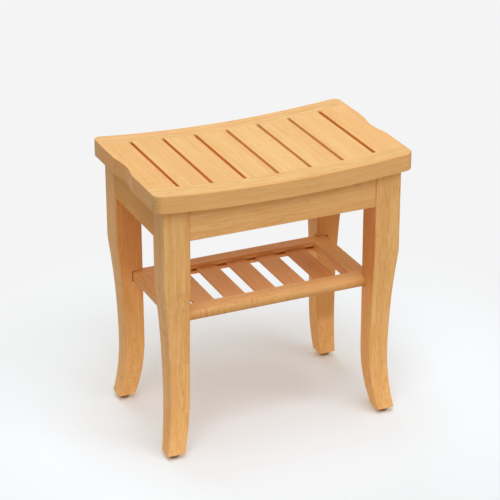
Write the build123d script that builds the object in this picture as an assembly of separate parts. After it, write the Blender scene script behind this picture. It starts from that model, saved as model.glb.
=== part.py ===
"""A bamboo shower bench: a dished, slatted seat on four sabre legs, with a slatted shelf between them.

The origin is on the floor, under the middle of the seat. +X runs along the seat, +Y to its back, +Z up.
"""
from build123d import *
from math import atan, cos, degrees, radians, sin, sqrt
import os

os.makedirs("parts", exist_ok=True)

# Overall sizes, in millimetres
SEAT_LENGTH = 406.4
SEAT_DEPTH = 254.0
TOTAL_HEIGHT = 431.8

# Seat: a frame of two rails and two end boards round six slats, dished along its length
SEAT_THICKNESS = 26.3
SEAT_SAG = 10.0
SEAT_CORNER_RADIUS = 13.0
SEAT_EDGE_ROUND = 1.2
SEAT_RAIL_WIDTH = 33.0
SEAT_SLAT_THICKNESS = 14.0
SLOT_COUNT = 7
SLOT_WIDTH = 5.0
SLOT_PITCH = 51.6
SLOT_EDGE_ROUND = 0.8
TONGUE_THICKNESS = 6.0
TONGUE_LENGTH = 8.0
TONGUE_CLEARANCE = 0.15
GROOVE_STOP = 14.0

# Hand grip: a shallow S-shaped hollow in each end of the seat
GRIP_HALF_LENGTH = 42.0
GRIP_DEPTH = 4.8
GRIP_HOLLOW_SHARE = 0.64

# Legs: square at the top, waisted outside and swept outwards at the foot, the same in both directions
LEG_SIZE = 41.3
LEG_INSET_X = 14.9
LEG_INSET_Y = 10.35
LEG_SHOULDER_HEIGHT = 272.5
LEG_SHOULDER_RADIUS = 150.0
LEG_WAIST_HEIGHT = 101.5
LEG_WAIST_DEPTH = 9.5
LEG_INNER_SWEEP_HEIGHT = 107.9
LEG_FOOT_SWEEP = 12.9
LEG_FOOT_RETURN = 0.7
LEG_EDGE_ROUND = 2.5
LEG_CORNER_CUT = 14.0
LEG_CORNER_CUT_FOOT = 330.0

# Foot pads: round bumpers, pressed into the foot by a stem
PAD_DIAMETER = 15.8
PAD_THICKNESS = 8.9
PAD_EDGE_CUT = 1.2
PAD_STEM_DIAMETER = 5.0
PAD_STEM_LENGTH = 8.0

# Aprons: under the seat, between the legs
APRON_THICKNESS = 18.0
APRON_BOTTOM = 350.2
APRON_EDGE_ROUND = 1.2
LONG_APRON_RECESS = 1.7
SIDE_APRON_RECESS = 0.5

# Corner blocks and the fasteners that pull each leg into its corner
BLOCK_THICKNESS = 18.0
BLOCK_BOTTOM = 354.0
BOLT_DIAMETER = 6.0
BOLT_HEIGHT = 374.0
BOLT_IN_LEG = 32.0
BOLT_STICK_OUT = 3.0
WASHER_DIAMETER = 16.0
WASHER_THICKNESS = 1.5
NUT_ACROSS_FLATS = 10.0
NUT_THICKNESS = 5.0
SCREW_DIAMETER = 4.0
SCREW_HEAD_DIAMETER = 8.0
SCREW_HEAD_HEIGHT = 2.6
HOLE_CLEARANCE = 0.2
BLOCK_SCREW_HEIGHTS = (363.0, 385.0)
BLOCK_SCREW_FROM_WEDGE = 11.0
BLOCK_SCREW_WEB = 6.0
BLOCK_SCREW_IN_APRON = 12.0
SEAT_SCREW_X = 90.0
SEAT_SCREW_IN_SEAT = 18.0
SEAT_SCREW_IN_APRON = 20.0

# Shelf: four flat rails round five thin slats, its corners let into the legs
SHELF_LENGTH = 328.2
SHELF_DEPTH = 172.5
SHELF_TOP = 224.4
SHELF_THICKNESS = 15.8
SHELF_LONG_RAIL_WIDTH = 26.7
SHELF_END_RAIL_WIDTH = 31.3
SHELF_CORNER_RADIUS = 12.0
SHELF_EDGE_ROUND = 4.5
SHELF_INNER_EDGE_ROUND = 2.5
SHELF_SLAT_COUNT = 5
SHELF_SLAT_WIDTH = 32.5
SHELF_SLAT_THICKNESS = 4.2
SHELF_SLAT_EDGE_ROUND = 0.8
SHELF_GROOVE_HEIGHT = 4.5
SHELF_GROOVE_DEPTH = 8.0
SHELF_SLAT_ENTRY = 7.5
NOTCH_SIDE_GAP = 0.7
NOTCH_TOP_GAP = 0.8
SHELF_SCREW_START = 5.0
SHELF_SCREW_RISE = 40.0
SHELF_SCREW_LENGTH = 36.0

# Places that follow from the sizes above
LEG_OUTER_X = SEAT_LENGTH / 2 - LEG_INSET_X
LEG_OUTER_Y = SEAT_DEPTH / 2 - LEG_INSET_Y
LEG_INNER_X = LEG_OUTER_X - LEG_SIZE
LEG_INNER_Y = LEG_OUTER_Y - LEG_SIZE
SLOT_HALF_LENGTH = SEAT_DEPTH / 2 - SEAT_RAIL_WIDTH
END_BOARD_INNER = (SLOT_COUNT - 1) / 2 * SLOT_PITCH + SLOT_WIDTH / 2
TONGUE_TOP = (SEAT_SLAT_THICKNESS - TONGUE_THICKNESS) / 2
APRON_FRONT_Y = LEG_OUTER_Y - LONG_APRON_RECESS
APRON_BACK_Y = APRON_FRONT_Y - APRON_THICKNESS
APRON_OUTER_X = LEG_OUTER_X - SIDE_APRON_RECESS
APRON_INNER_X = APRON_OUTER_X - APRON_THICKNESS
SHELF_BOTTOM = SHELF_TOP - SHELF_THICKNESS
SHELF_INNER_X = SHELF_LENGTH / 2 - SHELF_END_RAIL_WIDTH
SHELF_INNER_Y = SHELF_DEPTH / 2 - SHELF_LONG_RAIL_WIDTH
GROOVE_FLOOR = SHELF_BOTTOM + (SHELF_THICKNESS - SHELF_GROOVE_HEIGHT) / 2
DISH_RADIUS = (SEAT_LENGTH**2 / 4 + SEAT_SAG**2) / (2 * SEAT_SAG)
DISH_CENTRE = TOTAL_HEIGHT - SEAT_SAG + DISH_RADIUS
CORNERS = {"front_left": (-1, -1), "front_right": (1, -1), "back_left": (-1, 1), "back_right": (1, 1)}


def block(x, y, z):
    """A box from its ranges along X, Y and Z."""
    middle = [(low + high) / 2 for low, high in (x, y, z)]
    return Pos(*middle) * Box(x[1] - x[0], y[1] - y[0], z[1] - z[0])


def dish_height(x, drop):
    """Height of the dished surface that lies `drop` under the seat's top."""
    return DISH_CENTRE - sqrt((DISH_RADIUS + drop) ** 2 - x**2)


def dish_arc(x_from, x_to, drop):
    """The dish's curve in the XZ plane, from one X to another."""
    points = [(x, 0, dish_height(x, drop)) for x in (x_from, (x_from + x_to) / 2, x_to)]
    return ThreePointArc(*points)


def dished_slab(x, y, drop_top, drop_bottom):
    """A bent board between two surfaces that are parallel to the seat's top."""
    top = dish_arc(x[0], x[1], drop_top)
    bottom = dish_arc(x[0], x[1], drop_bottom)
    ends = [Line(top @ 0, bottom @ 0), Line(top @ 1, bottom @ 1)]
    profile = make_face([top, bottom, *ends])
    slab = extrude(profile, amount=y[1] - y[0], dir=(0, 1, 0))
    return Pos(0, y[0], 0) * slab


def under_the_seat(solid):
    """Cuts a solid's top to the curve of the seat's underside."""
    reach = (-SEAT_LENGTH / 2, SEAT_LENGTH / 2)
    depth = (-SEAT_DEPTH / 2, SEAT_DEPTH / 2)
    return solid & dished_slab(reach, depth, SEAT_THICKNESS, SEAT_THICKNESS + TOTAL_HEIGHT)


def seat_outline():
    """The seat's plan: a rectangle with round corners and a hollow for the hand in each end."""
    half_x, half_y, r = SEAT_LENGTH / 2, SEAT_DEPTH / 2, SEAT_CORNER_RADIUS
    turn = 2 * atan(GRIP_DEPTH / GRIP_HALF_LENGTH)
    radii = GRIP_HALF_LENGTH / sin(turn)
    hollow = GRIP_HOLLOW_SHARE * radii
    shoulder = radii - hollow
    turn = degrees(turn)
    half = [
        Line((0, -half_y), (half_x - r, -half_y)),
        CenterArc((half_x - r, r - half_y), r, -90, 90),
        Line((half_x, r - half_y), (half_x, -GRIP_HALF_LENGTH)),
        CenterArc((half_x - shoulder, -GRIP_HALF_LENGTH), shoulder, 0, turn),
        CenterArc((half_x - GRIP_DEPTH + hollow, 0), hollow, 180 + turn, -2 * turn),
        CenterArc((half_x - shoulder, GRIP_HALF_LENGTH), shoulder, -turn, turn),
        Line((half_x, GRIP_HALF_LENGTH), (half_x, half_y - r)),
        CenterArc((half_x - r, half_y - r), r, 0, 90),
        Line((half_x - r, half_y), (0, half_y)),
    ]
    other_half = [edge.rotate(Axis.Z, 180) for edge in half]
    return make_face(half + other_half)


def upright(edge):
    """Whether an edge runs straight up."""
    return edge.geom_type == GeomType.LINE and abs((edge % 0.5).Z) > 0.99


def seat_blank():
    """The whole seat before its slots: dished top and underside, with its rims rounded over."""
    reach = SEAT_LENGTH / 2 + 1
    slab = dished_slab((-reach, reach), (-SEAT_DEPTH / 2, SEAT_DEPTH / 2), 0, SEAT_THICKNESS)
    outline = extrude(Pos(0, 0, TOTAL_HEIGHT / 2) * seat_outline(), amount=TOTAL_HEIGHT)
    blank = slab & outline
    rims = [edge for edge in blank.edges() if not upright(edge)]
    return fillet(rims, SEAT_EDGE_ROUND)


def round_slot_edges(board, places):
    """Takes the sharpness off a board's top edges beside the slots."""
    edges = []
    for edge in board.edges():
        middle = edge @ 0.5
        beside_slot = any(abs(middle.X - x) < 0.01 for x in places)
        along_slot = edge.length > SLOT_HALF_LENGTH
        if beside_slot and along_slot and middle.Z > dish_height(middle.X, 1):
            edges.append(edge)
    return fillet(edges, SLOT_EDGE_ROUND)


def tongue(x, side):
    """A board's stub tongue, which seats in the groove of the front or back rail."""
    y = sorted((side * SLOT_HALF_LENGTH, side * (SLOT_HALF_LENGTH + TONGUE_LENGTH - TONGUE_CLEARANCE)))
    top = TONGUE_TOP + TONGUE_CLEARANCE
    bottom = TONGUE_TOP + TONGUE_THICKNESS - TONGUE_CLEARANCE
    return dished_slab(x, y, top, bottom)


def seat_rail(blank, side):
    """The front or back rail of the seat, the full length of it, grooved for the boards' tongues."""
    y = sorted((side * SLOT_HALF_LENGTH, side * SEAT_DEPTH))
    rail = blank & block((-SEAT_LENGTH, SEAT_LENGTH), y, (0, 2 * TOTAL_HEIGHT))
    reach = SEAT_LENGTH / 2 - GROOVE_STOP
    groove_y = sorted((side * (SLOT_HALF_LENGTH - 1), side * (SLOT_HALF_LENGTH + TONGUE_LENGTH)))
    return rail - dished_slab((-reach, reach), groove_y, TONGUE_TOP, TONGUE_TOP + TONGUE_THICKNESS)


def seat_end_board(blank, side):
    """An end board of the seat, as thick as the rails, with its hand grip."""
    x = sorted((side * END_BOARD_INNER, side * SEAT_LENGTH))
    y = (-SLOT_HALF_LENGTH, SLOT_HALF_LENGTH)
    board = blank & block(x, y, (0, 2 * TOTAL_HEIGHT))
    board = round_slot_edges(board, [side * END_BOARD_INNER])
    stop = SEAT_LENGTH / 2 - GROOVE_STOP - TONGUE_CLEARANCE
    tongue_x = sorted((side * END_BOARD_INNER, side * stop))
    return board + tongue(tongue_x, -1) + tongue(tongue_x, 1)


def seat_slat(number):
    """One slat of the seat, counted from the left."""
    left = (number - (SLOT_COUNT - 1) / 2) * SLOT_PITCH + SLOT_WIDTH / 2
    x = (left, left + SLOT_PITCH - SLOT_WIDTH)
    slat = dished_slab(x, (-SLOT_HALF_LENGTH, SLOT_HALF_LENGTH), 0, SEAT_SLAT_THICKNESS)
    slat = round_slot_edges(slat, x)
    return slat + tongue(x, -1) + tongue(x, 1)


def leg_profile(outer, inner):
    """A leg's outline against height: a straight top, a waisted outside and a foot that sweeps outwards."""
    foot = PAD_THICKNESS
    top = TOTAL_HEIGHT
    waist = (outer - LEG_WAIST_DEPTH, LEG_WAIST_HEIGHT)
    shoulder = (outer, LEG_SHOULDER_HEIGHT)
    toe = (outer - LEG_FOOT_RETURN, foot)
    heel = (inner + LEG_FOOT_SWEEP, foot)
    knee = (inner, LEG_INNER_SWEEP_HEIGHT)
    outline = [
        Line((outer, top), shoulder),
        TangentArc(waist, shoulder, tangent=(0, 1)),
        TangentArc(waist, toe, tangent=(0, -1)),
        Line(toe, heel),
        TangentArc(knee, heel, tangent=(0, -1)),
        Line(knee, (inner, top)),
        Line((inner, top), (outer, top)),
    ]
    face = make_face(outline)
    corner = min(face.vertices(), key=lambda v: (v.center() - Vector(*shoulder, 0)).length)
    return fillet(corner, LEG_SHOULDER_RADIUS)


def diagonal(x, y, z):
    """A plane whose X axis points from a leg's inner corner to its outer corner, with its Y axis up."""
    return Plane(origin=(x, y, z), x_dir=(1, 1, 0), z_dir=(1, -1, 0))


def corner_cut():
    """The wedge that is cut off a leg's inner corner behind the aprons, with a sloping foot."""
    depth = LEG_CORNER_CUT / sqrt(2)
    reach = LEG_SIZE
    points = [
        (-reach, TOTAL_HEIGHT),
        (depth, TOTAL_HEIGHT),
        (depth, LEG_CORNER_CUT_FOOT + depth),
        (-reach, LEG_CORNER_CUT_FOOT - reach),
    ]
    face = diagonal(LEG_INNER_X, LEG_INNER_Y, 0) * make_face(Polyline(*points, close=True))
    return extrude(face, amount=reach, both=True)


def leg():
    """The back right leg; the other three are its mirror images."""
    from_side = extrude(Plane.XZ * leg_profile(LEG_OUTER_X, LEG_INNER_X), amount=-SEAT_DEPTH)
    from_front = extrude(Plane.YZ * leg_profile(LEG_OUTER_Y, LEG_INNER_Y), amount=SEAT_LENGTH)
    body = from_side & from_front
    long_edges = [edge for edge in body.edges() if abs((edge @ 1).Z - (edge @ 0).Z) > 1]
    body = fillet(long_edges, LEG_EDGE_ROUND)
    body = under_the_seat(body) - corner_cut()
    notch = block(
        (0, SHELF_LENGTH / 2 + NOTCH_SIDE_GAP),
        (0, SHELF_DEPTH / 2 + NOTCH_SIDE_GAP),
        (SHELF_BOTTOM, SHELF_TOP + NOTCH_TOP_GAP),
    )
    return body - notch - bolt_shank(HOLE_CLEARANCE) - shelf_screw(HOLE_CLEARANCE) - pad_stem(HOLE_CLEARANCE)


def foot_centre():
    """The middle of the back right foot."""
    sweep = (LEG_FOOT_SWEEP - LEG_FOOT_RETURN) / 2
    x = (LEG_INNER_X + LEG_OUTER_X) / 2 + sweep
    y = (LEG_INNER_Y + LEG_OUTER_Y) / 2 + sweep
    return x, y


def pad_stem(clearance=0.0):
    """The pad's stem, which is pressed into the end grain of the foot."""
    radius = (PAD_STEM_DIAMETER + clearance) / 2
    x, y = foot_centre()
    height = PAD_THICKNESS + PAD_STEM_LENGTH + clearance
    return Pos(x, y, height / 2) * Cylinder(radius, height)


def foot_pad():
    """A round pad under the back right foot."""
    x, y = foot_centre()
    disc = Pos(x, y, PAD_THICKNESS / 2) * Cylinder(PAD_DIAMETER / 2, PAD_THICKNESS)
    lower_rim = disc.edges().group_by(Axis.Z)[0]
    return chamfer(lower_rim, PAD_EDGE_CUT) + pad_stem()


def bolt_frame():
    """A plane at the wedge cut of the back right leg, with its Z axis along the bolt, out of the leg."""
    middle = LEG_CORNER_CUT / 2
    return Plane(origin=(LEG_INNER_X + middle, LEG_INNER_Y + middle, BOLT_HEIGHT), z_dir=(-1, -1, 0))


def along_bolt(radius, start, length):
    """A cylinder on the bolt's axis, measured from the leg's wedge cut."""
    return bolt_frame() * Pos(0, 0, start + length / 2) * Cylinder(radius, length)


def bolt_shank(clearance=0.0):
    """The hanger bolt: screwed into the leg, and through the corner block, washer and nut."""
    out = BLOCK_THICKNESS + WASHER_THICKNESS + NUT_THICKNESS + BOLT_STICK_OUT
    deep = BOLT_IN_LEG + clearance
    return along_bolt((BOLT_DIAMETER + clearance) / 2, -deep, deep + out)


def bolt_washer():
    """The plain washer on the corner block."""
    washer = along_bolt(WASHER_DIAMETER / 2, BLOCK_THICKNESS, WASHER_THICKNESS)
    return washer - bolt_shank(HOLE_CLEARANCE)


def bolt_nut():
    """The hexagon nut on the washer."""
    start = BLOCK_THICKNESS + WASHER_THICKNESS
    hexagon = RegularPolygon(NUT_ACROSS_FLATS / 2, 6, major_radius=False)
    nut = bolt_frame() * Pos(0, 0, start) * extrude(hexagon, amount=NUT_THICKNESS)
    return nut - bolt_shank(HOLE_CLEARANCE)


def screw(frame, length, clearance=0.0, room=0.0):
    """A wood screw with its head under the frame's origin and its shank along the frame's Z axis."""
    shank_length = length + clearance
    shank = Pos(0, 0, shank_length / 2) * Cylinder((SCREW_DIAMETER + clearance) / 2, shank_length)
    head_length = SCREW_HEAD_HEIGHT + room
    head = Pos(0, 0, -head_length / 2) * Cylinder((SCREW_HEAD_DIAMETER + clearance) / 2, head_length)
    return frame * (shank + head)


def corner_block_screw_frames():
    """The seats of the screws that hold the back right corner block to its two aprons."""
    wedge = LEG_INNER_X + LEG_INNER_Y + LEG_CORNER_CUT - BLOCK_THICKNESS * sqrt(2)
    x = wedge - APRON_BACK_Y + BLOCK_SCREW_FROM_WEDGE
    y = wedge - APRON_INNER_X + BLOCK_SCREW_FROM_WEDGE
    frames = []
    for height in BLOCK_SCREW_HEIGHTS:
        frames.append(Plane(origin=(x, APRON_BACK_Y - BLOCK_SCREW_WEB, height), z_dir=(0, 1, 0)))
        frames.append(Plane(origin=(APRON_INNER_X - BLOCK_SCREW_WEB, y, height), z_dir=(1, 0, 0)))
    return frames


def corner_block_screws(clearance=0.0, room=0.0):
    """The four screws of the back right corner block."""
    length = BLOCK_SCREW_WEB + BLOCK_SCREW_IN_APRON
    return [screw(frame, length, clearance, room) for frame in corner_block_screw_frames()]


def corner_block():
    """The back right corner block: across the corner, flat on both aprons and on the leg's wedge cut."""
    near = LEG_INNER_X + LEG_INNER_Y + LEG_CORNER_CUT
    far = near - BLOCK_THICKNESS * sqrt(2)
    points = [
        (near - APRON_BACK_Y, APRON_BACK_Y),
        (APRON_INNER_X, near - APRON_INNER_X),
        (APRON_INNER_X, far - APRON_INNER_X),
        (far - APRON_BACK_Y, APRON_BACK_Y),
    ]
    outline = Pos(0, 0, BLOCK_BOTTOM) * make_face(Polyline(*points, close=True))
    solid = under_the_seat(extrude(outline, amount=TOTAL_HEIGHT - BLOCK_BOTTOM))
    solid -= bolt_shank(HOLE_CLEARANCE)
    for cutter in corner_block_screws(HOLE_CLEARANCE, LEG_SIZE):
        solid -= cutter
    return solid


def seat_screw_frames():
    """The seats of the screws that hold the seat down, driven upwards through the aprons."""
    middle_y = (APRON_FRONT_Y + APRON_BACK_Y) / 2
    middle_x = (APRON_OUTER_X + APRON_INNER_X) / 2
    places = [(sx * SEAT_SCREW_X, sy * middle_y) for sx in (-1, 1) for sy in (-1, 1)]
    places += [(side * middle_x, 0) for side in (-1, 1)]
    frames = []
    for x, y in places:
        height = dish_height(x, SEAT_THICKNESS) - SEAT_SCREW_IN_APRON
        frames.append(Plane(origin=(x, y, height), z_dir=(0, 0, 1)))
    return frames


def seat_screws(clearance=0.0, room=0.0):
    """The six screws that hold the seat on the aprons."""
    length = SEAT_SCREW_IN_APRON + SEAT_SCREW_IN_SEAT
    return [screw(frame, length, clearance, room) for frame in seat_screw_frames()]


def long_edges_low(solid, length, limit):
    """The long edges that lie under a height."""
    return [edge for edge in solid.edges() if edge.length > length and (edge @ 0.5).Z < limit]


def apron(x, y, holes):
    """An apron: a board on edge whose top is cut to the seat's underside."""
    board = under_the_seat(block(x, y, (APRON_BOTTOM, TOTAL_HEIGHT)))
    low = long_edges_low(board, 2 * APRON_THICKNESS, APRON_BOTTOM + 1)
    board = fillet(low, APRON_EDGE_ROUND)
    for hole in holes:
        board -= hole
    return board


def mirrored(shape, sx, sy):
    """A shape of the back right corner, in the corner that the two signs name."""
    if sx < 0:
        shape = mirror(shape, about=Plane.YZ)
    if sy < 0:
        shape = mirror(shape, about=Plane.XZ)
    return shape


def on_inner_rim(point):
    """Whether a point lies on the edge of the shelf frame's opening."""
    beside_x = abs(abs(point.X) - SHELF_INNER_X) < 0.01 and abs(point.Y) < SHELF_INNER_Y
    beside_y = abs(abs(point.Y) - SHELF_INNER_Y) < 0.01 and abs(point.X) < SHELF_INNER_X
    return beside_x or beside_y


def shelf_blank():
    """The whole shelf frame before it is parted into rails, with its rims rounded over."""
    outline = RectangleRounded(SHELF_LENGTH, SHELF_DEPTH, SHELF_CORNER_RADIUS)
    blank = Pos(0, 0, SHELF_BOTTOM) * extrude(outline, amount=SHELF_THICKNESS)
    rims = [edge for edge in blank.edges() if not upright(edge)]
    blank = fillet(rims, SHELF_EDGE_ROUND)
    inside_x = (-SHELF_INNER_X, SHELF_INNER_X)
    inside_y = (-SHELF_INNER_Y, SHELF_INNER_Y)
    frame = blank - block(inside_x, inside_y, (0, TOTAL_HEIGHT))
    inner_rims = [edge for edge in frame.edges() if not upright(edge) and on_inner_rim(edge @ 0.5)]
    return fillet(inner_rims, SHELF_INNER_EDGE_ROUND)


def shelf_screw(clearance=0.0, room=0.0):
    """The toe screw of the shelf's back right corner, from its underside up into the leg."""
    inward = SHELF_SCREW_START / sqrt(2)
    flat = cos(radians(SHELF_SCREW_RISE)) / sqrt(2)
    direction = (flat, flat, sin(radians(SHELF_SCREW_RISE)))
    origin = (LEG_INNER_X - inward, LEG_INNER_Y - inward, SHELF_BOTTOM + SCREW_HEAD_DIAMETER / 2)
    return screw(Plane(origin=origin, z_dir=direction), SHELF_SCREW_LENGTH, clearance, room)


def shelf_long_rail(blank, side):
    """The front or back rail of the shelf, the full length of it, grooved for the slats."""
    y = sorted((side * SHELF_INNER_Y, side * SHELF_DEPTH))
    rail = blank & block((-SHELF_LENGTH, SHELF_LENGTH), y, (0, TOTAL_HEIGHT))
    reach = SHELF_LENGTH / 2 - SHELF_CORNER_RADIUS
    groove_y = sorted((side * (SHELF_INNER_Y - 1), side * (SHELF_INNER_Y + SHELF_GROOVE_DEPTH)))
    rail -= block((-reach, reach), groove_y, (GROOVE_FLOOR, GROOVE_FLOOR + SHELF_GROOVE_HEIGHT))
    for sx in (-1, 1):
        rail -= mirrored(shelf_screw(HOLE_CLEARANCE, SHELF_THICKNESS), sx, side)
    return rail


def shelf_end_rail(blank, side):
    """A cross rail at the shelf's end, with a stub tongue at each end of it."""
    x = sorted((side * SHELF_INNER_X, side * SHELF_LENGTH))
    rail = blank & block(x, (-SHELF_INNER_Y, SHELF_INNER_Y), (0, TOTAL_HEIGHT))
    reach = SHELF_INNER_Y + SHELF_SLAT_ENTRY
    stop = SHELF_LENGTH / 2 - SHELF_CORNER_RADIUS - TONGUE_CLEARANCE
    tongue_x = sorted((side * SHELF_INNER_X, side * stop))
    return rail + block(tongue_x, (-reach, reach), (GROOVE_FLOOR, GROOVE_FLOOR + SHELF_SLAT_THICKNESS))


def shelf_slat(number):
    """One thin slat of the shelf, counted from the left, lying on the floor of the rails' grooves."""
    gap = (2 * SHELF_INNER_X - SHELF_SLAT_COUNT * SHELF_SLAT_WIDTH) / (SHELF_SLAT_COUNT + 1)
    left = gap - SHELF_INNER_X + (number - 1) * (SHELF_SLAT_WIDTH + gap)
    reach = SHELF_INNER_Y + SHELF_SLAT_ENTRY
    slat = block(
        (left, left + SHELF_SLAT_WIDTH), (-reach, reach), (GROOVE_FLOOR, GROOVE_FLOOR + SHELF_SLAT_THICKNESS)
    )
    long_edges = [edge for edge in slat.edges() if edge.length > reach]
    return fillet(long_edges, SHELF_SLAT_EDGE_ROUND)


def write(name, *solids):
    """Writes one node: a single solid, or a group of like ones."""
    if len(solids) == 1:
        shape = solids[0]
    else:
        shape = Compound(children=[Solid(solid.solids()[0].wrapped) for solid in solids])
    shape.label = name
    export_step(shape, f"parts/{name}.step")


def build():
    """Makes and writes every piece."""
    blank = seat_blank()
    write("seat_front_rail", seat_rail(blank, -1) - [*seat_screws(HOLE_CLEARANCE)])
    write("seat_back_rail", seat_rail(blank, 1) - [*seat_screws(HOLE_CLEARANCE)])
    write("seat_left_end_board", seat_end_board(blank, -1) - [*seat_screws(HOLE_CLEARANCE)])
    write("seat_right_end_board", seat_end_board(blank, 1) - [*seat_screws(HOLE_CLEARANCE)])
    for number in range(1, SLOT_COUNT):
        write(f"seat_slat_{number}", seat_slat(number - 1))

    screw_holes = []
    for signs in CORNERS.values():
        screw_holes += [mirrored(hole, *signs) for hole in corner_block_screws(HOLE_CLEARANCE)]
    holes = [*screw_holes, *seat_screws(HOLE_CLEARANCE, TOTAL_HEIGHT)]
    along = (-LEG_INNER_X, LEG_INNER_X)
    across = (-LEG_INNER_Y, LEG_INNER_Y)
    write("front_apron", apron(along, (-APRON_FRONT_Y, -APRON_BACK_Y), holes))
    write("back_apron", apron(along, (APRON_BACK_Y, APRON_FRONT_Y), holes))
    write("left_apron", apron((-APRON_OUTER_X, -APRON_INNER_X), across, holes))
    write("right_apron", apron((APRON_INNER_X, APRON_OUTER_X), across, holes))

    one_leg = leg()
    one_block = corner_block()
    one_pad = foot_pad()
    for name, signs in CORNERS.items():
        write(f"leg_{name}", mirrored(one_leg, *signs))
        write(f"corner_block_{name}", mirrored(one_block, *signs))
        write(f"foot_pad_{name}", mirrored(one_pad, *signs))
    write("hanger_bolts", *[mirrored(bolt_shank(), *signs) for signs in CORNERS.values()])
    write("hanger_bolt_washers", *[mirrored(bolt_washer(), *signs) for signs in CORNERS.values()])
    write("hanger_bolt_nuts", *[mirrored(bolt_nut(), *signs) for signs in CORNERS.values()])
    block_screws = [mirrored(one, *signs) for signs in CORNERS.values() for one in corner_block_screws()]
    write("corner_block_screws", *block_screws)
    write("seat_screws", *seat_screws())

    shelf = shelf_blank()
    write("shelf_front_rail", shelf_long_rail(shelf, -1))
    write("shelf_back_rail", shelf_long_rail(shelf, 1))
    write("shelf_left_rail", shelf_end_rail(shelf, -1))
    write("shelf_right_rail", shelf_end_rail(shelf, 1))
    for number in range(1, SHELF_SLAT_COUNT + 1):
        write(f"shelf_slat_{number}", shelf_slat(number))
    write("shelf_screws", *[mirrored(shelf_screw(), *signs) for signs in CORNERS.values()])


build()
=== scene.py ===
"""A bamboo shower bench: a dished, slatted seat on four sabre legs, with a slatted shelf between them.

Everything is in metres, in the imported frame: the floor is z = 0, +X runs along the seat, +Y to its back.
"""

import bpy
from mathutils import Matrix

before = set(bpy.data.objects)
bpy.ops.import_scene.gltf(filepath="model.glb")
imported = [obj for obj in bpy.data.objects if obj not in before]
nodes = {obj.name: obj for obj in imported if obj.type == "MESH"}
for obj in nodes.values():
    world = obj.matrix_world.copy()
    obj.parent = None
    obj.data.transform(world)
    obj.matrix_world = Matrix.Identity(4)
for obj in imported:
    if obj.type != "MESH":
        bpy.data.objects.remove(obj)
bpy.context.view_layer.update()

from math import cos, radians, sin

import bpy
from mathutils import Matrix, Vector

bpy.ops.object.select_all(action="DESELECT")


# Camera
# A long lens, a little above the seat and to the left of the bench's front, as in the photograph.
# The azimuth and the elevation give the way back from the bench to the lens.
VIEW_AZIMUTH = radians(-24.0661)
VIEW_ELEVATION = radians(24.544)
VIEW_ROLL = radians(-0.1631)
VIEW_DISTANCE = 3.0991762
VIEW_CENTRE = Vector((0, 0, 0.2318))
VIEW_SHIFT_RIGHT = -0.0029358
VIEW_SHIFT_UP = 0.026856
SENSOR = 36.0
PHOTO_SIZE = 500
FOCAL_PIXELS = 2051.8666
CLIP_NEAR = 0.05
CLIP_FAR = 50

back = Vector((
    sin(VIEW_AZIMUTH) * cos(VIEW_ELEVATION),
    -cos(VIEW_AZIMUTH) * cos(VIEW_ELEVATION),
    sin(VIEW_ELEVATION),
))
level = Vector((cos(VIEW_AZIMUTH), sin(VIEW_AZIMUTH), 0))
upright = back.cross(level)
right = level * cos(VIEW_ROLL) + upright * sin(VIEW_ROLL)
up = upright * cos(VIEW_ROLL) - level * sin(VIEW_ROLL)
lens = bpy.data.cameras.new("photo_camera")
lens.sensor_width = SENSOR
lens.lens = FOCAL_PIXELS * SENSOR / PHOTO_SIZE
lens.clip_start = CLIP_NEAR
lens.clip_end = CLIP_FAR
camera = bpy.data.objects.new("photo_camera", lens)
place = VIEW_CENTRE + back * VIEW_DISTANCE + right * VIEW_SHIFT_RIGHT + up * VIEW_SHIFT_UP
turn = Matrix((right, up, back)).transposed()
camera.matrix_world = Matrix.LocRotScale(place, turn, None)
bpy.context.scene.collection.objects.link(camera)
bpy.context.scene.camera = camera
bpy.context.scene.view_settings.view_transform = "Standard"


# Seat
# Two long rails, with two end boards and six slats between them, tongued into a groove along each rail.
# All are bamboo strips pressed side by side and in layers, planed, dished along the seat and lacquered
# satin. The rails have their grain along the seat, and the end boards and slats have it across.
SEAT_LENGTH = 0.4064
DISH_DEPTH = 0.010
DISH_RADIUS = (SEAT_LENGTH**2 / 4 + DISH_DEPTH**2) / (2 * DISH_DEPTH)
RAIL_EDGE = (0.1258, 0.1265)
END_RIM = (0.185, 0.195)
FACING_OUT = (0.5, 0.8)
SLOT_PITCH = 0.0516
SLOT_HALF_WIDTH = 0.0026
SLOT_WALL_FADE = 0.0003
PALE_SLOTS_FROM = 4
STRIP_LAYER = 0.013
STRIP_WIDTH = 0.0204
RAIL_STRIP_WIDTH = 0.0165
SEAT_PALE = "#F2C78C"
SEAT_DEEP = "#E6B270"
RAIL_PALE = "#EEC88F"
RAIL_DEEP = "#E2B373"
SLAT_PALE = "#F1C98F"
SLAT_DEEP = "#E5B775"
# Painted light: the rails' outer upright faces are drawn brighter and warmer than their tops.
RAIL_FACE_LIGHT = "#FFC882"
# Painted shade: the seat's outer end faces are drawn a deeper orange.
END_FACE_SHADE = "#F4A04C"
# Painted light: the slots' walls are drawn warm orange, as the light that bounces between them, and paler
# from the fourth slat on, where more light falls.
SLOT_BOUNCE_ORANGE = "#FCB666"
SLOT_BOUNCE_PALE = "#FFD090"
EASED = {"interpolation_type": "SMOOTHSTEP"}
COLOURS = {"data_type": "RGBA"}


def linear(hex_colour):
    """The linear colour of an sRGB hex value."""
    channels = [int(hex_colour[i:i + 2], 16) / 255 for i in (1, 3, 5)]
    return [c / 12.92 if c <= 0.04045 else ((c + 0.055) / 1.055) ** 2.4 for c in channels] + [1]


def add(tree, kind, settings=None, **inputs):
    """Adds a node with its settings, gives each named input a value or a link, and returns its outputs.

    An input's name has _ for each space, and an input that is known by its number is named _0, _1 and so on.
    """
    node = tree.nodes.new(kind)
    for name, value in (settings or {}).items():
        setattr(node, name, value)
    for name, value in inputs.items():
        key = int(name[1:]) if name[0] == "_" else name.replace("_", " ")
        if isinstance(value, bpy.types.NodeSocket):
            tree.links.new(value, node.inputs[key])
        else:
            node.inputs[key].default_value = value
    return node.outputs


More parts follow.
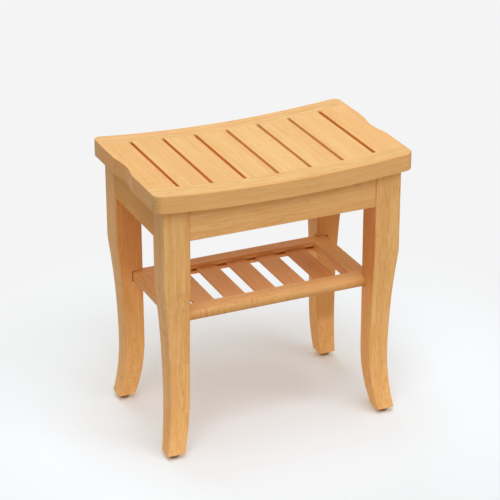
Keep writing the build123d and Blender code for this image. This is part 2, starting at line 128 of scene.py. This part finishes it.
# The width and the length of each kind of streak in the wood. The depths are how strongly fibres, bands,
# strips and figure turn the tone from pale to deep, and the base brings the mean tone about half way.
FIBRES = (0.0016, 0.05)
BANDS = (0.0055, 0.30)
FIGURE = (0.030, 0.12)
DASHES = (0.0012, 0.016)
FLOCKS = (0.020, 0.09)
STREAK_ROUGHNESS = 0.55
FIBRE_DEPTH = 2.8
BAND_DEPTH = 1.1
STRIP_DEPTH = 0.35
FIGURE_DEPTH = 0.7
TONE_BASE = -0.55


def streaks(tree, spot, size, detail):
    """Noise drawn out along the grain, in streaks of a width and a length."""
    width, length = size
    drawn_out = add(
        tree, "ShaderNodeMapping", Vector=spot, Scale=(1 / width, 1 / width, 1 / length)
    )["Vector"]
    return add(
        tree, "ShaderNodeTexNoise", Vector=drawn_out, Scale=1.0, Detail=detail, Roughness=STREAK_ROUGHNESS
    )["Fac"]


# A cane has a node every 26 cm or so. The wave, and each mark's reach from the node, are in node spacings.
NODE_BROWN = "#9A6430"
NODE_SPACING = 0.26
NODE_WAVE = 0.03
NODE_SHOWS_BELOW = 0.55
NODE_ZONE_REACH = 0.03
NODE_ZONE_SHARE = 0.05
NODE_LINE_REACH = 0.006
NODE_LINE_SHARE = 0.12


def cane_nodes(tree, wood, along, bands, own_hue, own_node):
    """The nodes of the cane, which cross the grain: a fine brown wavy line in a faintly darker zone."""
    step = add(
        tree, "ShaderNodeMath", {"operation": "MULTIPLY_ADD"}, _0=along, _1=1 / NODE_SPACING, _2=own_node
    )[0]
    step = add(tree, "ShaderNodeMath", {"operation": "MULTIPLY_ADD"}, _0=bands, _1=NODE_WAVE, _2=step)[0]
    step = add(tree, "ShaderNodeMath", {"operation": "PINGPONG"}, _0=step, _1=0.5)[0]
    strength = add(
        tree, "ShaderNodeMapRange", EASED, Value=own_hue, _1=0.0, _2=NODE_SHOWS_BELOW, _3=1.0, _4=0.0
    )[0]
    for reach, share in ((NODE_ZONE_REACH, NODE_ZONE_SHARE), (NODE_LINE_REACH, NODE_LINE_SHARE)):
        mark = add(tree, "ShaderNodeMapRange", EASED, Value=step, _1=0.0, _2=reach, _3=share, _4=0.0)[0]
        mark = add(tree, "ShaderNodeMath", {"operation": "MULTIPLY"}, _0=mark, _1=strength)[0]
        wood = add(tree, "ShaderNodeMix", COLOURS, Factor=mark, _6=wood, _7=linear(NODE_BROWN))[2]
    return wood


# Cell numbers start well above 0, and half a strip on, so that a strip lies on the board's middle line.
# A pair of values is where a pattern starts and where it is in full. The glue's reach is in strip widths.
FIRST_CELL = (50.5, 50)
BLUSH = "#E7A067"
BLUSH_CHANCE = (0.4, 1.0)
BLUSH_SHARE = 0.25
STREAK_BROWN = "#BC7836"
DASH_LEVEL = (0.55, 0.72)
FLOCK_LEVEL = (0.40, 0.60)
DASH_SHARE = 0.36
GLUE_REACH = 0.03
GLUE_SHARE = 0.14
FIBRE_LEVEL = (0.2, 0.8)
SATIN = (0.42, 0.54)
LACQUER_IOR = 1.5
LACQUER_SHEEN = 0.15
DASH_SINK = -1.5
GLUE_SINK = -3.5
WOOD_RELIEF = {"Strength": 0.12, "Distance": 0.0003}


def pressed_bamboo(name, grain, strips, pale, deep, board, fineness=1.0, shade=0.0, dish=False):
    """Laminated bamboo, planed and lacquered satin: a broad soft sheen, with the grain just felt in it.

    Each strip has its own tone, between yellow and pink. Real fibre bundles are 0.3 to 0.5 mm wide, too
    fine to show, so the fibres are drawn 1.6 mm wide, and the dark dashes, which lie in flocks, 1.2 mm.
    grain is the axis that the fibres follow, strips gives a strip's size along the other two axes, and
    board is the board's number. fineness is how strongly the fibres show, and shade makes a darker board.
    A dished board's layers follow the seat's curve.
    """
    material = bpy.data.materials.new(name)
    material.use_nodes = True
    tree = material.node_tree
    shader = tree.nodes["Principled BSDF"]
    x, y, z = add(tree, "ShaderNodeSeparateXYZ", Vector=add(tree, "ShaderNodeTexCoord")["Object"])
    if dish:
        bend = add(tree, "ShaderNodeMath", {"operation": "MULTIPLY"}, _0=x, _1=x)[0]
        curve = -1 / (2 * DISH_RADIUS)
        z = add(tree, "ShaderNodeMath", {"operation": "MULTIPLY_ADD"}, _0=bend, _1=curve, _2=z)[0]
    along, across, through = {"X": (x, y, z), "Y": (y, x, z), "Z": (z, x, y)}[grain]
    place = add(tree, "ShaderNodeCombineXYZ", X=across, Y=through, Z=along)[0]

    # Each strip of the board is a cell with its own chance numbers, which also shift its pattern.
    cell = add(
        tree, "ShaderNodeVectorMath", {"operation": "MULTIPLY_ADD"},
        _0=place, _1=(1 / strips[0], 1 / strips[1], 0), _2=(*FIRST_CELL, board + 0.5),
    )[0]
    whole = add(tree, "ShaderNodeVectorMath", {"operation": "FLOOR"}, _0=cell)[0]
    chance = add(tree, "ShaderNodeTexWhiteNoise", {"noise_dimensions": "3D"}, Vector=whole)["Color"]
    own_tone, own_hue, own_node = add(tree, "ShaderNodeSeparateColor", Color=chance)
    spot = add(tree, "ShaderNodeVectorMath", {"operation": "ADD"}, _0=place, _1=chance)[0]
    board_spot = add(tree, "ShaderNodeVectorMath", {"operation": "ADD"}, _0=place, _1=(board, 0, board))[0]
    fibres = streaks(tree, spot, FIBRES, detail=3.0)
    bands = streaks(tree, spot, BANDS, detail=1.0)
    figure = streaks(tree, board_spot, FIGURE, detail=2.0)
    dashes = streaks(tree, spot, DASHES, detail=1.0)
    flocks = streaks(tree, spot, FLOCKS, detail=1.0)

    tone = shade + TONE_BASE - FIBRE_DEPTH / 2 * fineness
    depths = (
        (fibres, FIBRE_DEPTH * fineness),
        (bands, BAND_DEPTH),
        (own_tone, STRIP_DEPTH),
        (figure, FIGURE_DEPTH),
    )
    for pattern, depth in depths:
        tone = add(tree, "ShaderNodeMath", {"operation": "MULTIPLY_ADD"}, _0=pattern, _1=depth, _2=tone)[0]
    wood = add(tree, "ShaderNodeMix", COLOURS, Factor=tone, _6=linear(pale), _7=linear(deep))[2]
    low, high = BLUSH_CHANCE
    pinkness = add(
        tree, "ShaderNodeMapRange", EASED, Value=own_hue, _1=low, _2=high, _3=0.0, _4=BLUSH_SHARE
    )[0]
    wood = add(tree, "ShaderNodeMix", COLOURS, Factor=pinkness, _6=wood, _7=linear(BLUSH))[2]

    low, high = DASH_LEVEL
    dash = add(tree, "ShaderNodeMapRange", EASED, Value=dashes, _1=low, _2=high, _3=0.0, _4=1.0)[0]
    low, high = FLOCK_LEVEL
    flock = add(
        tree, "ShaderNodeMapRange", EASED, Value=flocks, _1=low, _2=high, _3=0.0, _4=DASH_SHARE * fineness
    )[0]
    dash_share = add(tree, "ShaderNodeMath", {"operation": "MULTIPLY"}, _0=dash, _1=flock)[0]
    wood = add(tree, "ShaderNodeMix", COLOURS, Factor=dash_share, _6=wood, _7=linear(STREAK_BROWN))[2]
    wood = cane_nodes(tree, wood, along, bands, own_hue, own_node)

    # A thin dark line of glue runs between the strips.
    column = add(tree, "ShaderNodeSeparateXYZ", Vector=cell)[0]
    column = add(tree, "ShaderNodeMath", {"operation": "PINGPONG"}, _0=column, _1=0.5)[0]
    glue = add(
        tree, "ShaderNodeMapRange", EASED, Value=column, _1=0.0, _2=GLUE_REACH, _3=GLUE_SHARE, _4=0.0
    )[0]
    wood = add(tree, "ShaderNodeMix", COLOURS, Factor=glue, _6=wood, _7=linear(NODE_BROWN))[2]
    tree.links.new(wood, shader.inputs["Base Color"])

    low, high = FIBRE_LEVEL
    gloss = add(tree, "ShaderNodeMapRange", Value=fibres, _1=low, _2=high, _3=SATIN[0], _4=SATIN[1])[0]
    tree.links.new(gloss, shader.inputs["Roughness"])
    shader.inputs["IOR"].default_value = LACQUER_IOR
    shader.inputs["Specular IOR Level"].default_value = LACQUER_SHEEN
    height = add(
        tree, "ShaderNodeMath", {"operation": "MULTIPLY_ADD"}, _0=dash_share, _1=DASH_SINK, _2=fibres
    )[0]
    height = add(tree, "ShaderNodeMath", {"operation": "MULTIPLY_ADD"}, _0=glue, _1=GLUE_SINK, _2=height)[0]
    relief = add(tree, "ShaderNodeBump", Height=height, **WOOD_RELIEF)[0]
    tree.links.new(relief, shader.inputs["Normal"])
    return material


def dress(node, material):
    """Gives a CAD node its material."""
    nodes[node].data.materials.clear()
    nodes[node].data.materials.append(material)


def paint_zone(material, colour, *limits, share):
    """Paints a colour over the wood within limits, each of which names a measure, and where it starts and is
    in full.

    "X", "Y" and "Z" measure how far out a place is, and "facing X" how squarely its surface looks along X,
    from 0 to 1.
    """
    tree = material.node_tree
    shader = tree.nodes["Principled BSDF"]
    for measure, start, full in limits:
        if measure.startswith("facing"):
            vector = add(tree, "ShaderNodeNewGeometry")["Normal"]
        else:
            vector = add(tree, "ShaderNodeTexCoord")["Object"]
        out = add(tree, "ShaderNodeSeparateXYZ", Vector=vector)[measure[-1]]
        out = add(tree, "ShaderNodeMath", {"operation": "ABSOLUTE"}, _0=out)[0]
        step = add(tree, "ShaderNodeMapRange", EASED, Value=out, _1=start, _2=full, _3=0.0, _4=1.0)[0]
        share = add(tree, "ShaderNodeMath", {"operation": "MULTIPLY"}, _0=step, _1=share)[0]
    wood = shader.inputs["Base Color"].links[0].from_socket
    wood = add(tree, "ShaderNodeMix", COLOURS, Factor=share, _6=wood, _7=linear(colour))[2]
    tree.links.new(wood, shader.inputs["Base Color"])


def open_slots(material, slot_light, share=0.9):
    """Paints the slots' walls a warm colour, as painted light: the light that bounces between them.
    The slots are one pitch apart.
    """
    tree = material.node_tree
    shader = tree.nodes["Principled BSDF"]
    x = add(tree, "ShaderNodeSeparateXYZ", Vector=add(tree, "ShaderNodeTexCoord")["Object"])[0]
    off = add(tree, "ShaderNodeMath", {"operation": "PINGPONG"}, _0=x, _1=SLOT_PITCH / 2)[0]
    wall_end = SLOT_HALF_WIDTH + SLOT_WALL_FADE
    wall = add(
        tree, "ShaderNodeMapRange", EASED, Value=off, _1=SLOT_HALF_WIDTH, _2=wall_end, _3=share, _4=0.0
    )[0]
    wood = shader.inputs["Base Color"].links[0].from_socket
    wood = add(tree, "ShaderNodeMix", COLOURS, Factor=wall, _6=wood, _7=linear(slot_light))[2]
    tree.links.new(wood, shader.inputs["Base Color"])


board = 0
for side in ("front", "back"):
    board += 1
    rail_bamboo = pressed_bamboo(
        f"seat_{side}_rail_bamboo", "X", (RAIL_STRIP_WIDTH, STRIP_LAYER), RAIL_PALE, RAIL_DEEP, board,
        fineness=1.2, dish=True,
    )
    # Painted light on the rails' outer upright faces.
    paint_zone(rail_bamboo, RAIL_FACE_LIGHT, ("Y", *RAIL_EDGE), share=0.35)
    dress(f"seat_{side}_rail", rail_bamboo)
for side in ("left", "right"):
    board += 1
    end_bamboo = pressed_bamboo(
        f"seat_{side}_end_bamboo", "Y", (STRIP_WIDTH, STRIP_LAYER), SEAT_PALE, SEAT_DEEP, board,
        fineness=0.7, dish=True,
    )
    # Painted light in the slots' walls, and painted shade on the outer end faces.
    open_slots(end_bamboo, SLOT_BOUNCE_ORANGE)
    paint_zone(end_bamboo, END_FACE_SHADE, ("facing X", *FACING_OUT), ("X", *END_RIM), share=0.3)
    dress(f"seat_{side}_end_board", end_bamboo)
for number in range(1, 7):
    board += 1
    slat_bamboo = pressed_bamboo(
        f"seat_slat_{number}_bamboo", "Y", (STRIP_WIDTH, STRIP_LAYER), SLAT_PALE, SLAT_DEEP, board,
        fineness=0.5, dish=True,
    )
    # Painted light in the slots' walls, paler from the fourth slat on.
    open_slots(slat_bamboo, SLOT_BOUNCE_ORANGE if number < PALE_SLOTS_FROM else SLOT_BOUNCE_PALE)
    dress(f"seat_slat_{number}", slat_bamboo)


# Aprons
# Four bamboo boards on edge, butted between the legs and held by a block screwed across each corner. Their
# tops are cut to the seat's curve, and the seat is screwed down through them. The left and right ones are
# painted deeper and yellower, as painted shade under the seat's overhang and in the dimmer light at the
# sides.
LONG_APRON_PALE = "#FDD092"
LONG_APRON_DEEP = "#F1BB77"
SHADED_SIDE_APRON_PALE = "#F1B75B"
SHADED_SIDE_APRON_DEEP = "#E4A145"
APRON_STRIPS = (0.018, 0.0135)
for side in ("front", "back"):
    board += 1
    apron_bamboo = pressed_bamboo(
        f"{side}_apron_bamboo", "X", APRON_STRIPS, LONG_APRON_PALE, LONG_APRON_DEEP, board, fineness=1.15
    )
    dress(f"{side}_apron", apron_bamboo)
# Painted shade: the left and right aprons are drawn deeper and yellower.
for side in ("left", "right"):
    board += 1
    apron_bamboo = pressed_bamboo(
        f"{side}_apron_bamboo", "Y", APRON_STRIPS, SHADED_SIDE_APRON_PALE, SHADED_SIDE_APRON_DEEP, board
    )
    dress(f"{side}_apron", apron_bamboo)


# Legs
# Layers of strips glued into a square post, sawn to the sabre curve and sanded round at the edges. A bolt
# through a block across the corner draws each leg in. The faces turned inwards under the seat are painted
# amber, deeper towards the top, as painted shade with the warm light that bounces off the wood there, and
# the front of the back right leg is painted dark, as painted shade under the seat.
LEG_PALE = "#FACD8E"
LEG_DEEP = "#EEB873"
# Painted shade: a dark brown for the back right leg's front, and amber for faces turned in under the seat.
BACK_LEG_SHADE = "#C88E52"
UNDER_SEAT_SHADE = "#E28A40"
UNDER_SEAT_SHADE_RISE = (0.10, 0.28)
INNER_END = 0.1473
INNER_SIDE = 0.0757
INNER_FADE = 0.0015
LEG_STRIPS = (0.0135, 0.0135)
for corner in ("front_left", "front_right", "back_left", "back_right"):
    board += 1
    leg_bamboo = pressed_bamboo(
        f"leg_{corner}_bamboo", "Z", LEG_STRIPS, LEG_PALE, LEG_DEEP, board, fineness=1.2
    )
    inner_side = ("Y", INNER_SIDE + INNER_FADE, INNER_SIDE)
    # Painted shade: the back right leg's front is drawn dark, and the inner faces amber, deeper towards the
    # top.
    if corner == "back_right":
        paint_zone(leg_bamboo, BACK_LEG_SHADE, inner_side, share=0.6)
    else:
        inner_end = ("X", INNER_END + INNER_FADE, INNER_END)
        paint_zone(leg_bamboo, UNDER_SEAT_SHADE, inner_end, ("Z", *UNDER_SEAT_SHADE_RISE), share=0.55)
    paint_zone(leg_bamboo, UNDER_SEAT_SHADE, inner_side, ("Z", *UNDER_SEAT_SHADE_RISE), share=0.35)
    dress(f"leg_{corner}", leg_bamboo)
    board += 1
    block_bamboo = pressed_bamboo(
        f"corner_block_{corner}_bamboo", "Z", LEG_STRIPS, LEG_PALE, LEG_DEEP, board
    )
    dress(f"corner_block_{corner}", block_bamboo)


# Shelf
# Flat bamboo rails, screwed up into the legs' notches, with thin slats lying in the long rails' grooves.
# The front and right rails are drawn paler and the right-hand slat darker, partly as the boards' own tone
# and partly as painted light and shade, as the light falls unevenly under the seat. The front rail's face is
# painted darker towards its lower edge, as painted shade where it turns to the floor, and the right rail's
# inner edge amber, as painted shade. The front rail's rounded edge has short brown strokes up and down, like
# those that sanding across the grain leaves.
SHELF_STRIPS = (0.011, 0.014)
# The paler front and right rails and the darker right-hand slat are partly painted light and shade.
SHELF_FRONT_PALE = "#FACC90"
SHELF_FRONT_DEEP = "#EEB775"
SHELF_PALE = "#F6C086"
SHELF_DEEP = "#E8AA6A"
DARK_SLAT_PALE = "#E6AA6E"
DARK_SLAT_DEEP = "#DB985B"
STROKE_BROWN = "#8A5A2C"
# Painted shade on the front rail's face, towards its lower edge.
LOWER_EDGE_SHADE = "#CC9658"
FRONT_EDGE = (0.0813, 0.0833)
LOWER_EDGE = (0.2215, 0.2085)
RIGHT_INNER_EDGE = (0.1345, 0.1330)
FIRST_SLAT_SHADE = -0.5
STROKE_SIZE = (0.0014, 0.02, 0.02)
STROKE_LEVEL = (0.55, 0.68)
CROWD_LENGTH = 0.03
CROWD_LEVEL = (0.35, 0.55)
CROWD_SHARE = (0.05, 0.40)
STROKES_END = (-0.01, 0.08)
RIGHT_SHARE = 0.1


def sanding_strokes(material):
    """Short brown strokes up and down the front edge, crowded in places, and few at its right-hand end."""
    tree = material.node_tree
    shader = tree.nodes["Principled BSDF"]
    spot = add(tree, "ShaderNodeTexCoord")["Object"]
    place = add(tree, "ShaderNodeSeparateXYZ", Vector=spot)
    inner, outer = FRONT_EDGE
    edge = add(tree, "ShaderNodeMapRange", EASED, Value=place["Y"], _1=-outer, _2=-inner, _3=1.0, _4=0.0)[0]
    strokes = add(tree, "ShaderNodeMapping", Vector=spot, Scale=[1 / size for size in STROKE_SIZE])[0]
    strokes = add(tree, "ShaderNodeTexNoise", Vector=strokes, Scale=1.0, Detail=1.0)["Fac"]
    low, high = STROKE_LEVEL
    strokes = add(tree, "ShaderNodeMapRange", EASED, Value=strokes, _1=low, _2=high, _3=0.0, _4=1.0)[0]
    crowd = add(tree, "ShaderNodeMapping", Vector=spot, Scale=(1 / CROWD_LENGTH, 0, 0))[0]
    crowd = add(tree, "ShaderNodeTexNoise", Vector=crowd, Scale=1.0, Detail=1.0)["Fac"]
    low, high = CROWD_LEVEL
    few, many = CROWD_SHARE
    crowd = add(tree, "ShaderNodeMapRange", EASED, Value=crowd, _1=low, _2=high, _3=few, _4=many)[0]
    low, high = STROKES_END
    here = add(
        tree, "ShaderNodeMapRange", EASED, Value=place["X"], _1=low, _2=high, _3=1.0, _4=RIGHT_SHARE
    )[0]
    crowd = add(tree, "ShaderNodeMath", {"operation": "MULTIPLY"}, _0=crowd, _1=here)[0]
    share = add(tree, "ShaderNodeMath", {"operation": "MULTIPLY"}, _0=strokes, _1=crowd)[0]
    share = add(tree, "ShaderNodeMath", {"operation": "MULTIPLY"}, _0=share, _1=edge)[0]
    wood = shader.inputs["Base Color"].links[0].from_socket
    wood = add(tree, "ShaderNodeMix", COLOURS, Factor=share, _6=wood, _7=linear(STROKE_BROWN))[2]
    tree.links.new(wood, shader.inputs["Base Color"])


for side, pale, deep in (("front", SHELF_FRONT_PALE, SHELF_FRONT_DEEP), ("back", SHELF_PALE, SHELF_DEEP)):
    board += 1
    rail_bamboo = pressed_bamboo(
        f"shelf_{side}_rail_bamboo", "X", SHELF_STRIPS, pale, deep, board, fineness=0.8
    )
    if side == "front":
        # Painted shade: darker towards the front rail's lower edge.
        paint_zone(rail_bamboo, LOWER_EDGE_SHADE, ("Y", *FRONT_EDGE), ("Z", *LOWER_EDGE), share=0.9)
        sanding_strokes(rail_bamboo)
    dress(f"shelf_{side}_rail", rail_bamboo)
for side, pale, deep in (("left", SHELF_PALE, SHELF_DEEP), ("right", SHELF_FRONT_PALE, SHELF_FRONT_DEEP)):
    board += 1
    rail_bamboo = pressed_bamboo(
        f"shelf_{side}_rail_bamboo", "Y", SHELF_STRIPS, pale, deep, board, fineness=0.7
    )
    if side == "right":
        # Painted shade: the right rail's inner edge is drawn amber.
        paint_zone(rail_bamboo, UNDER_SEAT_SHADE, ("X", *RIGHT_INNER_EDGE), share=0.5)
    dress(f"shelf_{side}_rail", rail_bamboo)
for number in range(1, 6):
    board += 1
    shade = FIRST_SLAT_SHADE if number == 1 else 0.0
    # The darker right-hand slat is partly painted shade.
    pale, deep = (DARK_SLAT_PALE, DARK_SLAT_DEEP) if number == 5 else (SHELF_PALE, SHELF_DEEP)
    slat_bamboo = pressed_bamboo(
        f"shelf_slat_{number}_bamboo", "Y", SHELF_STRIPS, pale, deep, board, fineness=0.5, shade=shade
    )
    dress(f"shelf_slat_{number}", slat_bamboo)


# Foot pads
# Round bumpers moulded in brown rubber, each with a stem that is pushed into the foot's end grain.
# They keep the wood off a wet floor and stop the bench from sliding.
RUBBER = "#8A7058"
DUST = "#A8977F"
DUST_HEIGHT = 0.004
DUST_SHARE = (0.5, 0.1)
MOULD_GRAIN = 0.0006
MOULD_GRAIN_LEVEL = (0.3, 0.7)
RUBBER_MATT = (0.62, 0.80)
RUBBER_RELIEF = {"Strength": 0.3, "Distance": 0.0001}

# Moulded rubber: matt, with the fine grain of a spark-eroded mould, and dusty towards the floor. The real
# grain is about 0.1 mm, too fine to show, so it is drawn 0.6 mm wide.
rubber = bpy.data.materials.new("moulded_rubber")
rubber.use_nodes = True
tree = rubber.node_tree
shader = tree.nodes["Principled BSDF"]
spot = add(tree, "ShaderNodeTexCoord")["Object"]
z = add(tree, "ShaderNodeSeparateXYZ", Vector=spot)[2]
grain = add(tree, "ShaderNodeTexNoise", Vector=spot, Scale=1 / MOULD_GRAIN, Detail=2.0)["Fac"]
most, least = DUST_SHARE
dusty = add(tree, "ShaderNodeMapRange", EASED, Value=z, _1=0.0, _2=DUST_HEIGHT, _3=most, _4=least)[0]
rubber_colour = add(tree, "ShaderNodeMix", COLOURS, Factor=dusty, _6=linear(RUBBER), _7=linear(DUST))[2]
tree.links.new(rubber_colour, shader.inputs["Base Color"])
low, high = MOULD_GRAIN_LEVEL
matt = add(tree, "ShaderNodeMapRange", Value=grain, _1=low, _2=high, _3=RUBBER_MATT[0], _4=RUBBER_MATT[1])[0]
tree.links.new(matt, shader.inputs["Roughness"])
relief = add(tree, "ShaderNodeBump", Height=grain, **RUBBER_RELIEF)[0]
tree.links.new(relief, shader.inputs["Normal"])
for corner in ("front_left", "front_right", "back_left", "back_right"):
    dress(f"foot_pad_{corner}", rubber)


# Fasteners
# Bolts, washers and nuts that hold the legs to the corner blocks, and screws that hold the blocks, the seat
# and the shelf. They are turned or headed from steel wire and plated.
ZINC_BRIGHT = "#D2D2CE"
ZINC_DULL = "#B4B6B6"
CLOUD_SIZE = 0.004
CLOUD_LEVEL = (0.3, 0.7)
ZINC_SATIN = (0.28, 0.42)
ZINC_RELIEF = {"Strength": 0.1, "Distance": 0.0001}

# Zinc-plated steel: a bright grey, softly cloudy from the plating bath, with a metal's blurred reflections.
zinc = bpy.data.materials.new("zinc_plated_steel")
zinc.use_nodes = True
tree = zinc.node_tree
shader = tree.nodes["Principled BSDF"]
shader.inputs["Metallic"].default_value = 1
spot = add(tree, "ShaderNodeTexCoord")["Object"]
clouds = add(tree, "ShaderNodeTexNoise", Vector=spot, Scale=1 / CLOUD_SIZE, Detail=3.0)["Fac"]
zinc_colour = add(
    tree, "ShaderNodeMix", COLOURS, Factor=clouds, _6=linear(ZINC_BRIGHT), _7=linear(ZINC_DULL)
)[2]
tree.links.new(zinc_colour, shader.inputs["Base Color"])
low, high = CLOUD_LEVEL
satin = add(
    tree, "ShaderNodeMapRange", Value=clouds, _1=low, _2=high, _3=ZINC_SATIN[0], _4=ZINC_SATIN[1]
)[0]
tree.links.new(satin, shader.inputs["Roughness"])
relief = add(tree, "ShaderNodeBump", Height=clouds, **ZINC_RELIEF)[0]
tree.links.new(relief, shader.inputs["Normal"])
for group in (
    "hanger_bolts", "hanger_bolt_washers", "hanger_bolt_nuts",
    "corner_block_screws", "seat_screws", "shelf_screws",
):
    dress(group, zinc)


# Floor and light
# A plain pale floor under soft lamps: one overhead, one each side of the front, and a low one at the back.
# The floor's glow near the bench and the dim sky are faintly warm, as light that comes off pale wood is.
# The floor that is seen keeps the bench's shadow and fades into the pale background further out.
FLOOR_WIDTH = 30
FLOOR_ROUGHNESS = 0.9

# Levels of light, in linear red, green and blue. A fade is where a change starts and ends, from the middle.
FLOOR_BOUNCE = (0.4, 0.4, 0.4, 1)
FLOOR_MATT = (0.72, 0.84, 0.96, 1)
FLOOR_WHITE = (0.16, 0.12, 0.10, 1)
FLOOR_FADE = (0.30, 0.65)
GLOW = (0.48, 0.35, 0.22, 1)
GLOW_FADE = (0.15, 0.9)
BLACK = (0, 0, 0, 1)
SKY = (0.25, 0.19, 0.11, 1)
BACKGROUND = (0.905, 0.905, 0.905, 1)

# Each lamp's azimuth and elevation in degrees, and its strength.
LAMPS = {
    "overhead_lamp": (0, 88, 1.08),
    "left_front_lamp": (-24, 58, 1.0),
    "right_front_lamp": (30, 38, 0.64),
    "back_lamp": (-176, 38, 0.46),
}
LAMP_SOFTNESS = radians(38)


def seen_rays(tree):
    """1 for what is seen, straight, in a gloss or through glass, and 0 for what lights the bench."""
    rays = add(tree, "ShaderNodeLightPath")
    seen = rays["Is Camera Ray"]
    for way in ("Is Glossy Ray", "Is Transmission Ray"):
        seen = add(tree, "ShaderNodeMath", {"operation": "MAXIMUM"}, _0=seen, _1=rays[way])[0]
    return seen


bpy.ops.mesh.primitive_plane_add(size=FLOOR_WIDTH, location=(0, 0, 0))
floor = bpy.context.active_object
floor.name = "floor"
floor_paint = bpy.data.materials.new("pale_floor")
floor_paint.use_nodes = True
tree = floor_paint.node_tree
shader = tree.nodes["Principled BSDF"]
shader.inputs["Roughness"].default_value = FLOOR_ROUGHNESS
shader.inputs["Specular IOR Level"].default_value = 0
shader.inputs["Emission Strength"].default_value = 1
seen = seen_rays(tree)
spot = add(tree, "ShaderNodeTexCoord")["Object"]
off = add(tree, "ShaderNodeVectorMath", {"operation": "LENGTH"}, _0=spot)["Value"]
near, far = FLOOR_FADE
fade = add(tree, "ShaderNodeMapRange", EASED, Value=off, _1=near, _2=far, _3=0.0, _4=1.0)[0]
matt = add(tree, "ShaderNodeMix", COLOURS, Factor=fade, _6=FLOOR_MATT, _7=BLACK)[2]
matt = add(tree, "ShaderNodeMix", COLOURS, Factor=seen, _6=FLOOR_BOUNCE, _7=matt)[2]
tree.links.new(matt, shader.inputs["Base Color"])
white = add(tree, "ShaderNodeMix", COLOURS, Factor=fade, _6=FLOOR_WHITE, _7=BACKGROUND)[2]
near, far = GLOW_FADE
fade = add(tree, "ShaderNodeMapRange", EASED, Value=off, _1=near, _2=far, _3=0.0, _4=1.0)[0]
glow = add(tree, "ShaderNodeMix", COLOURS, Factor=fade, _6=GLOW, _7=BLACK)[2]
glow = add(tree, "ShaderNodeMix", COLOURS, Factor=seen, _6=glow, _7=white)[2]
tree.links.new(glow, shader.inputs["Emission Color"])
floor.data.materials.append(floor_paint)

world = bpy.data.worlds.new("studio")
bpy.context.scene.world = world
world.use_nodes = True
tree = world.node_tree
sky = tree.nodes["Background"]
sky.inputs["Strength"].default_value = 1
sky_light = add(tree, "ShaderNodeMix", COLOURS, Factor=seen_rays(tree), _6=SKY, _7=BACKGROUND)[2]
tree.links.new(sky_light, sky.inputs["Color"])

for name, (azimuth, elevation, strength) in LAMPS.items():
    heading = radians(azimuth)
    height = radians(elevation)
    towards = Vector((sin(heading) * cos(height), -cos(heading) * cos(height), sin(height)))
    light = bpy.data.lights.new(name, "SUN")
    light.energy = strength
    light.angle = LAMP_SOFTNESS
    lamp = bpy.data.objects.new(name, light)
    lamp.rotation_euler = towards.to_track_quat("Z", "Y").to_euler()
    bpy.context.scene.collection.objects.link(lamp)
